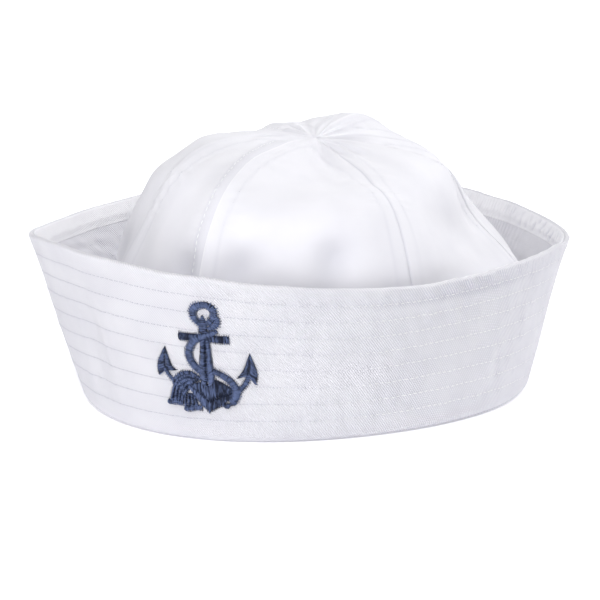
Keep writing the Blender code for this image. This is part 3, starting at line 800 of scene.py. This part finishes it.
def hem_cloth(material):
    """The hem strip: it lies on the inner face and turns over the brim's edge. It is painted lighter all
    over, with painted shade in the troughs of its roping.
    """
    angle = brim_angles()
    low = 1 - HEM_HEIGHT / BRIM_HEIGHT
    roped = stretch_of(angle, ROPED_HEM)
    under, over, tones = [], [], []
    for rise in np.linspace(low, 1.0, HEM_ROWS):
        rope = brim_ripples(angle, rise, HEM_ROPES)
        inside = (rise - low) / (1 - low)
        middle = np.sin(np.pi * inside) ** 0.5
        roping = (HEM_ROPING + STRONG_HEM_ROPING * roped) * rope * middle
        proud = HEM_WALL * (0.20 + 0.70 * ease(inside / 0.45)) + roping
        under.append(inner_face(angle, rise, 0.00005))
        over.append(inner_face(angle, rise, proud))
        # Painted light over the hem, with painted shade in the troughs of its roping
        tones.append(HEM_PAINTED_LIGHT + roped * np.clip(-rope, 0, 1) * middle)
    plain = np.zeros((HEM_ROWS, BRIM_COLUMNS))
    piece = ring_sheet("hem_cloth", np.array(under), np.array(over), plain, np.array(tones), material)
    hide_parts("brim_hem")


def seam_pairs():
    for number, left in enumerate(SEAMS, 1):
        right = SEAMS[number % len(SEAMS)]
        if number == len(SEAMS):
            right = right._replace(foot=right.foot + 360, apex=right.apex + 360)
        yield number, left, right


def top_share():
    near = 0.98
    apex = crown_form(0.0, 1.0)
    radius = np.linalg.norm(crown_form(np.arange(0.0, 360.0, 45.0), near) - apex, axis=-1).mean()
    return 1 - (1 - near) * APEX_HOLE / radius


def gore_cloth(number, left, right, material):
    """One gore of the crown, its columns closer together towards the seams."""
    even = np.linspace(0, 1, GORE_COLUMNS)
    across = 0.35 * even + 0.65 * (0.5 - 0.5 * np.cos(np.pi * even))
    inset, edge = 0.0003, 0.0010
    across = np.concatenate([[inset], edge + across * (1 - 2 * edge), [1 - inset]])
    rows = top_share() * (1 - (1 - np.linspace(0, 1, GORE_ROWS)) ** 1.3)
    across, share = np.meshgrid(across, rows)
    outer, normal, shade, _ = gore_face(left, right, across, share)
    points, faces = closed_sheet(outer, outer - normal * CROWN_WALL)
    climb = run_of(step_lengths(outer).mean(axis=1))
    reach = np.array([run_of(step_lengths(row)) for row in outer])
    reach = reach - reach[:, -1:] / 2
    uv = np.stack([reach, np.broadcast_to(climb[:, None], reach.shape)], -1).reshape(-1, 2)
    uv = np.concatenate([uv, uv])[faces]
    tone = np.concatenate([shade, np.zeros(shade.shape)])
    piece = new_object(f"gore_{number}_cloth", points + SHIFT, faces, tone, material, uv)
    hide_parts(f"crown_gore_{number}")


# Stitches


def thread_template(rings, sides):
    """A short thread along X, one long and one wide, whose ends dive down."""
    place = np.linspace(-1, 1, rings)[:, None]
    fat = 0.3 + 0.2 * np.sqrt(np.clip(1 - np.abs(place) ** 3, 0, None))
    turn = 2 * np.pi * np.arange(sides) / sides
    places = place / 2, fat * np.cos(turn), fat * np.sin(turn) - 0.55 * place**4
    faces = np.roll(grid_faces(rings, sides, False, True)[:, ::-1], 1, axis=1)
    return np.stack(np.broadcast_arrays(*places), -1).reshape(-1, 3), faces


def lay_stitches(name, rows, material):
    """Copies of the template, from rows of their centres, their directions, the cloth's and their tones.

    Their ends, where the thread dives into the cloth, carry painted shade, as the shadow of the needle holes.
    """
    rings, sides = 7, 5
    template, quads = thread_template(rings, sides)
    centre, along, out, plain = map(np.concatenate, zip(*rows))
    along = unit(along)
    out = unit(out - along * np.sum(out * along, axis=-1, keepdims=True))
    beside = np.cross(out, along)
    points = centre[:, None] + (
        template[None, :, :1] * STITCH_LENGTH * along[:, None]
        + template[None, :, 1:2] * STITCH_WIDTH * beside[:, None]
        + template[None, :, 2:] * STITCH_HEIGHT * out[:, None]
    )
    faces = copied_faces(quads, len(centre), len(template))
    ends = np.zeros(rings)
    ends[[0, -1]] = 1.0
    ends[[1, -2]] = 0.5
    # Painted shade at both ends of every stitch, for the shadowed needle holes
    tone = np.clip(plain[:, None] + (0.3 + plain[:, None]) * np.repeat(ends, sides), 0, 1)
    piece = new_object(name, (points + SHIFT).reshape(-1, 3), faces, tone, material)


def along_line(points, pitch):
    """Fractions along a line of points at even spacing."""
    run = run_of(step_lengths(points))
    count = int(run[-1] / pitch)
    return np.interp((np.arange(count) + 0.5) * run[-1] / count, run, np.linspace(0, 1, len(points)))


def brim_stitches(name, face, side, sunk, material):
    """All stitch rows on one side of the brim, sunk into the cloth by a little."""
    rows = []
    for row, rise in enumerate(STITCH_ROWS):
        line = face(np.linspace(0, 360, 361), rise)
        angle = along_line(line, STITCH_PITCH) * 360 + row * STITCH_TURN
        # The stitches carry painted shade, as dark dashes, less of it towards the right, where they are
        # painted light and stand prouder
        bright = stretch_of(angle, PROUD_ROWS_PAINTED_LIGHT)
        wander = rise + row_lift(angle) + ROW_WANDER * np.sin(np.radians(angle) * 5 + row)
        along = face(angle + 0.6, wander) - face(angle - 0.6, wander)
        up = face(angle, wander + 0.01) - face(angle, wander - 0.01)
        centre = face(angle, wander, 0.00002 + 0.00006 * bright - sunk)
        rows.append((centre, along, np.cross(along, up) * side, np.clip(0.62 - 0.75 * bright, 0, 1)))
    lay_stitches(name, rows, material)


def seam_stitches(material):
    """A row of topstitching down each side of every crown seam."""
    rows = []
    share = np.linspace(0.03, 0.91, 200)
    step = 0.006
    for _, left, right in seam_pairs():
        span = gore_face(left, right, np.full(200, 0.5), share)[3]
        away = np.minimum((FELL_WIDTH - FELL_ROW) / span, 0.45)
        for across, proud in ((away, left.after), (1 - away, right.before)):
            line = gore_face(left, right, across, share)[0]
            picked = share[0] + (share[-1] - share[0]) * along_line(line, STITCH_PITCH)
            spots = [
                gore_face(left, right, np.interp(picked + move, share, across), picked + move)
                for move in (0, step, -step)
            ]
            centre, normal = spots[0][:2]
            # Sunken stitches carry painted shade
            tone = np.full(len(picked), 0.0 if proud > 0 else 0.35)
            rows.append((centre + normal * proud, spots[1][0] - spots[2][0], normal, tone))
    lay_stitches("seam_stitches", rows, material)


# Embroidery


def flat_scale():
    """How many degrees round the wall, and how much rise, a metre of the flat drawing takes."""
    left, right = wall_point([ANCHOR_ANGLE - 0.5, ANCHOR_ANGLE + 0.5], ANCHOR_RISE)
    climb = np.linalg.norm(wall_point(ANCHOR_ANGLE, 1.0) - wall_point(ANCHOR_ANGLE, 0.0))
    return 1 / np.linalg.norm(right - left), 1 / climb


def on_wall(place, proud):
    """Lays places of the flat drawing on the brim's outer face, a little proud of it."""
    degree, climb = flat_scale()
    place = np.asarray(place) * ANCHOR_HEIGHT / 100
    return wall_face(ANCHOR_ANGLE + place[..., 0] * degree, ANCHOR_RISE + place[..., 1] * climb, proud)


def evenly(points, at):
    """A smooth line through points, read at shares of its length."""
    run = run_of(step_lengths(points))
    return smooth(run / run[-1], points, at)


def rails(shape, count):
    """The two edges that a shape's threads run between, at even places along it."""
    at = np.linspace(0, 1, count)
    if isinstance(shape, Column):
        return evenly(shape.left, at), evenly(shape.right, at)
    middle = evenly(shape.path, at)
    along = unit(np.gradient(middle, axis=0))
    half_width = np.interp(at, np.linspace(0, 1, len(shape.half_widths)), shape.half_widths)
    side = np.stack([-along[:, 1], along[:, 0]], -1) * half_width[:, None]
    return middle + side, middle - side


def satin_height(shape, across):
    """How high a shape's threads lie. Those of layer 0 stay flat, as the ground under the others."""
    bulge = THREAD_BULGE if shape.layer else GROUND_BULGE
    return shape.layer * THREAD_LAYER + bulge * np.sin(np.pi * across) ** 0.6


def satin(shape, random):
    """Where the threads of a shape run, as rows of places, each with its tone."""
    unit_length = ANCHOR_HEIGHT / 100
    left, right = rails(shape, 40)
    length = step_lengths((left + right) / 2).sum() * unit_length
    count = max(4, int(length / THREAD_PITCH))
    left, right = rails(shape, count)
    along = unit(right - left + 1e-9)
    width = np.linalg.norm(right - left, axis=-1)
    ragged = np.minimum(THREAD_RAGGED / unit_length, 0.3 * width)
    every_other = np.arange(count) % 2
    jut = [ragged * (every_other - 0.6 + random.uniform(-0.3, 0.3, count)) for _ in range(2)]
    left = left - along * jut[0][:, None]
    right = right + along * jut[1][:, None]
    across = np.linspace(0, 1, 9)
    inside = np.minimum(across, 1 - across)
    place = left[:, None] + (right - left)[:, None] * across[:, None]
    sink = 1 - ease(inside * width[:, None] * unit_length / THREAD_DIVE)
    height = satin_height(shape, across) + random.uniform(-THREAD_JITTER, THREAD_JITTER, (count, 1))
    height = height * (1 - sink) + THREAD_FOOT * sink
    flecks = random.uniform(-1, 1, (count, 1)) + random.uniform(-1, 1, (count, 5)).repeat(2, axis=1)[:, :9]
    # Painted shade at the edges of each shape and where its threads dive in; the flecks are the thread's own
    # uneven tone
    edges = EDGE_PAINTED_SHADE * (1 - ease(inside / 0.25))
    tone = np.clip(shape.shade + TONE_SPREAD * flecks + edges + 0.35 * sink, 0, 1)
    return on_wall(place, height), tone


def tubes(lines, radius, sides):
    """Tubes along rows of points, thinner at their ends."""
    along = unit(np.gradient(lines, axis=1))
    out = unit(lines * [1, 1, 0] + [0, 0, -0.02])
    beside = unit(np.cross(along, out))
    out = np.cross(beside, along)
    count = lines.shape[1]
    thin = np.full(count, 1.0)
    thin[[0, -1]] = 0.45
    turn = np.arange(sides) * 2 * np.pi / sides
    rim = beside[:, :, None] * np.cos(turn)[:, None] + out[:, :, None] * np.sin(turn)[:, None]
    points = lines[:, :, None] + rim * (radius * thin)[None, :, None, None]
    faces = copied_faces(grid_faces(count, sides, False, True), len(lines), count * sides)
    return points.reshape(-1, 3), faces


def anchor_threads(material):
    """The anchor: satin-stitched shapes, every thread a small tube over a padding painted darker, as the
    shade between the threads.
    """
    random = np.random.default_rng(8)
    lines, tones = [], []
    for shape in (*BANDS, *COLUMNS):
        place, tone = satin(shape, random)
        lines.append(place)
        tones.append(tone)
    lines = np.concatenate(lines)
    points, faces = tubes(lines + SHIFT, THREAD_RADIUS, 6)
    tone = np.repeat(np.concatenate(tones), 6)
    piece = new_object("anchor_threads", points, faces, tone, material)
    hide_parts("anchor_embroidery")


def anchor_padding(material):
    """The padding stitches under the threads, one low cushion for each shape, painted in the darkest navy as
    the shade between the threads.
    """
    all_points, all_faces, start = [], [], 0
    across = np.linspace(0, 1, 7)
    for shape in (*BANDS, *COLUMNS):
        left, right = rails(shape, 24)
        width = np.linalg.norm(right - left, axis=-1)[:, None]
        inset = np.minimum(0.25, PADDING_INSET / width)
        inside = inset + (1 - 2 * inset) * across
        place = left[:, None] + (right - left)[:, None] * inside[..., None]
        top = on_wall(place, satin_height(shape, inside) - THREAD_RADIUS * 1.3)
        under = on_wall(place, np.full(inside.shape, -0.0002))
        points, faces = closed_sheet(top, under)
        all_points.append(points)
        all_faces.append(faces + start)
        start += len(points)
    points = np.concatenate(all_points) + SHIFT
    faces = np.concatenate(all_faces)
    piece = new_object("anchor_padding", points, faces, np.ones(len(points)), material)


# Materials


def set_inputs(node, values):
    for name, value in values.items():
        node.inputs[name].default_value = value


def principled(name, values):
    material = bpy.data.materials.new(name)
    material.use_nodes = True
    set_inputs(material.node_tree.nodes["Principled BSDF"], values)
    return material, material.node_tree.nodes, material.node_tree.links


def own_tone(nodes):
    tone = nodes.new("ShaderNodeAttribute")
    tone.attribute_name = "tone"
    return tone.outputs["Fac"]


def noise_node(nodes, links, scale, detail):
    place = nodes.new("ShaderNodeTexCoord")
    noise = nodes.new("ShaderNodeTexNoise")
    set_inputs(noise, {"Scale": scale, "Detail": detail})
    links.new(place.outputs["Object"], noise.inputs["Vector"])
    return noise.outputs["Fac"]


def blend_colour(nodes, links, factor, light, dark):
    """Runs the shader's colour from light to dark by a factor."""
    colour = nodes.new("ShaderNodeMix")
    colour.data_type = "RGBA"
    set_inputs(colour, {"A": (*light, 1), "B": (*dark, 1)})
    links.new(factor, colour.inputs["Factor"])
    links.new(colour.outputs["Result"], nodes["Principled BSDF"].inputs["Base Color"])


# How far apart the ribs of a weave are, how they lean, and how high and how clear they are
Weave = namedtuple("Weave", "pitch lean relief stripe")
BRIM_WEAVE = Weave(0.00085, 36.0, 0.00013, 0.20)
HEM_WEAVE = Weave(0.00085, 36.0, 0.00010, 0.12)
CROWN_WEAVE = Weave(0.00042, 60.0, 0.000012, 0.02)


def twill(name, light, dark, weave):
    """White cotton twill: fine slanting ribs in the weave's own coordinates, a little tone and soft sheen."""
    looks = {"Roughness": 0.82, "Specular IOR Level": 0.25, "Sheen Weight": 0.18, "Sheen Roughness": 0.45}
    material, nodes, links = principled(name, looks)

    def combine(operation, *values):
        node = nodes.new("ShaderNodeMath")
        node.operation = operation
        for socket, value in zip(node.inputs, values):
            if isinstance(value, (int, float)):
                socket.default_value = value
            else:
                links.new(value, socket)
        return node.outputs[0]

    place = nodes.new("ShaderNodeUVMap")
    place.uv_map = "weave"
    parts = nodes.new("ShaderNodeSeparateXYZ")
    links.new(place.outputs[0], parts.inputs[0])
    turn = np.radians(weave.lean)
    across = combine("MULTIPLY", parts.outputs[0], float(2 * np.pi * np.cos(turn) / weave.pitch))
    up = combine("MULTIPLY", parts.outputs[1], float(2 * np.pi * np.sin(turn) / weave.pitch))
    rib = combine("SINE", combine("ADD", across, up))
    bump = nodes.new("ShaderNodeBump")
    set_inputs(bump, {"Strength": 1.0, "Distance": weave.relief})
    links.new(combine("ADD", rib, noise_node(nodes, links, 2200.0, 1.0)), bump.inputs["Height"])
    links.new(bump.outputs["Normal"], nodes["Principled BSDF"].inputs["Normal"])
    # The tone attribute carries the painted shade and highlight of each piece, and makes the ribs clearer
    # where there is more painted shade
    tone = own_tone(nodes)
    ribs = combine("MULTIPLY", rib, combine("MULTIPLY_ADD", tone, 3.0 * weave.stripe, weave.stripe))
    clouds = combine("MULTIPLY", noise_node(nodes, links, 60.0, 2.0), 0.5)
    shade = combine("MULTIPLY_ADD", tone, 0.8, combine("SUBTRACT", clouds, ribs))
    blend_colour(nodes, links, shade, light, dark)
    return material


def thread(name, light, dark, roughness, sheen):
    """Sewing thread, its colour picked between two by each stitch's own tone."""
    looks = {"Roughness": roughness, "Specular IOR Level": 0.3, "Sheen Weight": sheen}
    material, nodes, links = principled(name, looks)
    blend_colour(nodes, links, own_tone(nodes), light, dark)
    return material


# Studio

Lamp = namedtuple("Lamp", "name azimuth elevation softness strength")
LAMPS = (
    Lamp("front_light", -8, 14, 40, 1.05),
    Lamp("front_right_light", 40, 20, 40, 0.25),
    Lamp("top_light", 0, 50, 40, 2.15),
    Lamp("back_right_light", 152, 30, 45, 2.65),
    Lamp("back_left_light", -140, 40, 45, 0.40),
)
SURROUND_STRENGTH = 0.03
FLOOR_SIZE = 12.0
FLOOR_GLOW = 0.26


def seen_from(azimuth, elevation):
    """The direction from the cap to a lamp or the camera."""
    turn, tilt = np.radians([azimuth, elevation])
    return np.array([np.sin(turn) * np.cos(tilt), -np.cos(turn) * np.cos(tilt), np.sin(tilt)])


def studio():
    """A pale floor that glows a little, a white surround and soft lights."""
    bpy.ops.mesh.primitive_plane_add(size=FLOOR_SIZE)
    floor = bpy.context.object
    floor.name = "floor"
    looks = {"Base Color": (0.95, 0.95, 0.96, 1), "Roughness": 1.0, "Specular IOR Level": 0.0}
    glow = {"Emission Color": (0.94, 0.94, 1.0, 1), "Emission Strength": FLOOR_GLOW}
    floor.data.materials.append(principled("floor_white", {**looks, **glow})[0])
    world = bpy.data.worlds.new("surround")
    bpy.context.scene.world = world
    world.use_nodes = True
    sky = {"Color": (0.92, 0.92, 1.0, 1), "Strength": SURROUND_STRENGTH}
    set_inputs(world.node_tree.nodes["Background"], sky)
    bpy.context.scene.view_settings.view_transform = "Standard"
    for lamp in LAMPS:
        light = bpy.data.lights.new(lamp.name, "SUN")
        light.energy = lamp.strength
        light.angle = np.radians(lamp.softness)
        source = Vector(seen_from(lamp.azimuth, lamp.elevation))
        add_object(lamp.name, light).rotation_euler = source.to_track_quat("Z", "Y").to_euler()


CAMERA_AZIMUTH = 22.48
CAMERA_ELEVATION = 10.69
CAMERA_DISTANCE = 1.2
PIXELS_PER_METRE = 2390.0
AIM_HEIGHT = 0.030
AIM_PIXEL = (306.23, 316.18)
PHOTO_SIZE = 600


def camera():
    """The camera at the photograph's angle, aimed so that the cap sits where it does there."""
    back = seen_from(CAMERA_AZIMUTH, CAMERA_ELEVATION)
    right = seen_from(CAMERA_AZIMUTH + 90, 0)
    up = np.cross(back, right)
    off = (np.array(AIM_PIXEL) - PHOTO_SIZE / 2) / PIXELS_PER_METRE
    aim = np.array([0, 0, AIM_HEIGHT]) + SHIFT - right * off[0] + up * off[1]
    data = bpy.data.cameras.new("camera")
    data.sensor_width = 36.0
    data.lens = PIXELS_PER_METRE * CAMERA_DISTANCE / PHOTO_SIZE * data.sensor_width
    data.clip_start = 0.01
    view = add_object("camera", data)
    columns = np.stack([right, up, back, aim + back * CAMERA_DISTANCE], -1)
    view.matrix_world = Matrix([*columns.tolist(), [0, 0, 0, 1]])
    bpy.context.scene.camera = view


camera()
studio()
white_twill = twill("white_twill", (0.80, 0.795, 0.83), (0.56, 0.555, 0.63), BRIM_WEAVE)
crown_twill = twill("crown_twill", (0.80, 0.795, 0.83), (0.60, 0.60, 0.66), CROWN_WEAVE)
# A lighter copy of the brim's twill: painted light on the hem
hem_twill_painted_light = twill("hem_twill_painted_light", (0.90, 0.895, 0.925), (0.58, 0.575, 0.65), HEM_WEAVE)
# The thread's dark colour is the painted shade of the needle holes and the shaded stitches
white_thread = thread("white_thread", (0.88, 0.88, 0.89), (0.36, 0.36, 0.44), 0.5, 0.2)
navy_thread = thread("navy_thread", (0.116, 0.158, 0.305), (0.004, 0.008, 0.026), 0.5, 0.0)
brim_cloth(white_twill)
hem_cloth(hem_twill_painted_light)
for number, left, right in seam_pairs():
    gore_cloth(number, left, right, crown_twill)
brim_stitches("brim_stitches_outer", wall_face, 1, 0.0, white_thread)
brim_stitches("brim_stitches_inner", inner_face, -1, 0.00014, white_thread)
seam_stitches(white_thread)
anchor_padding(navy_thread)
anchor_threads(navy_thread)
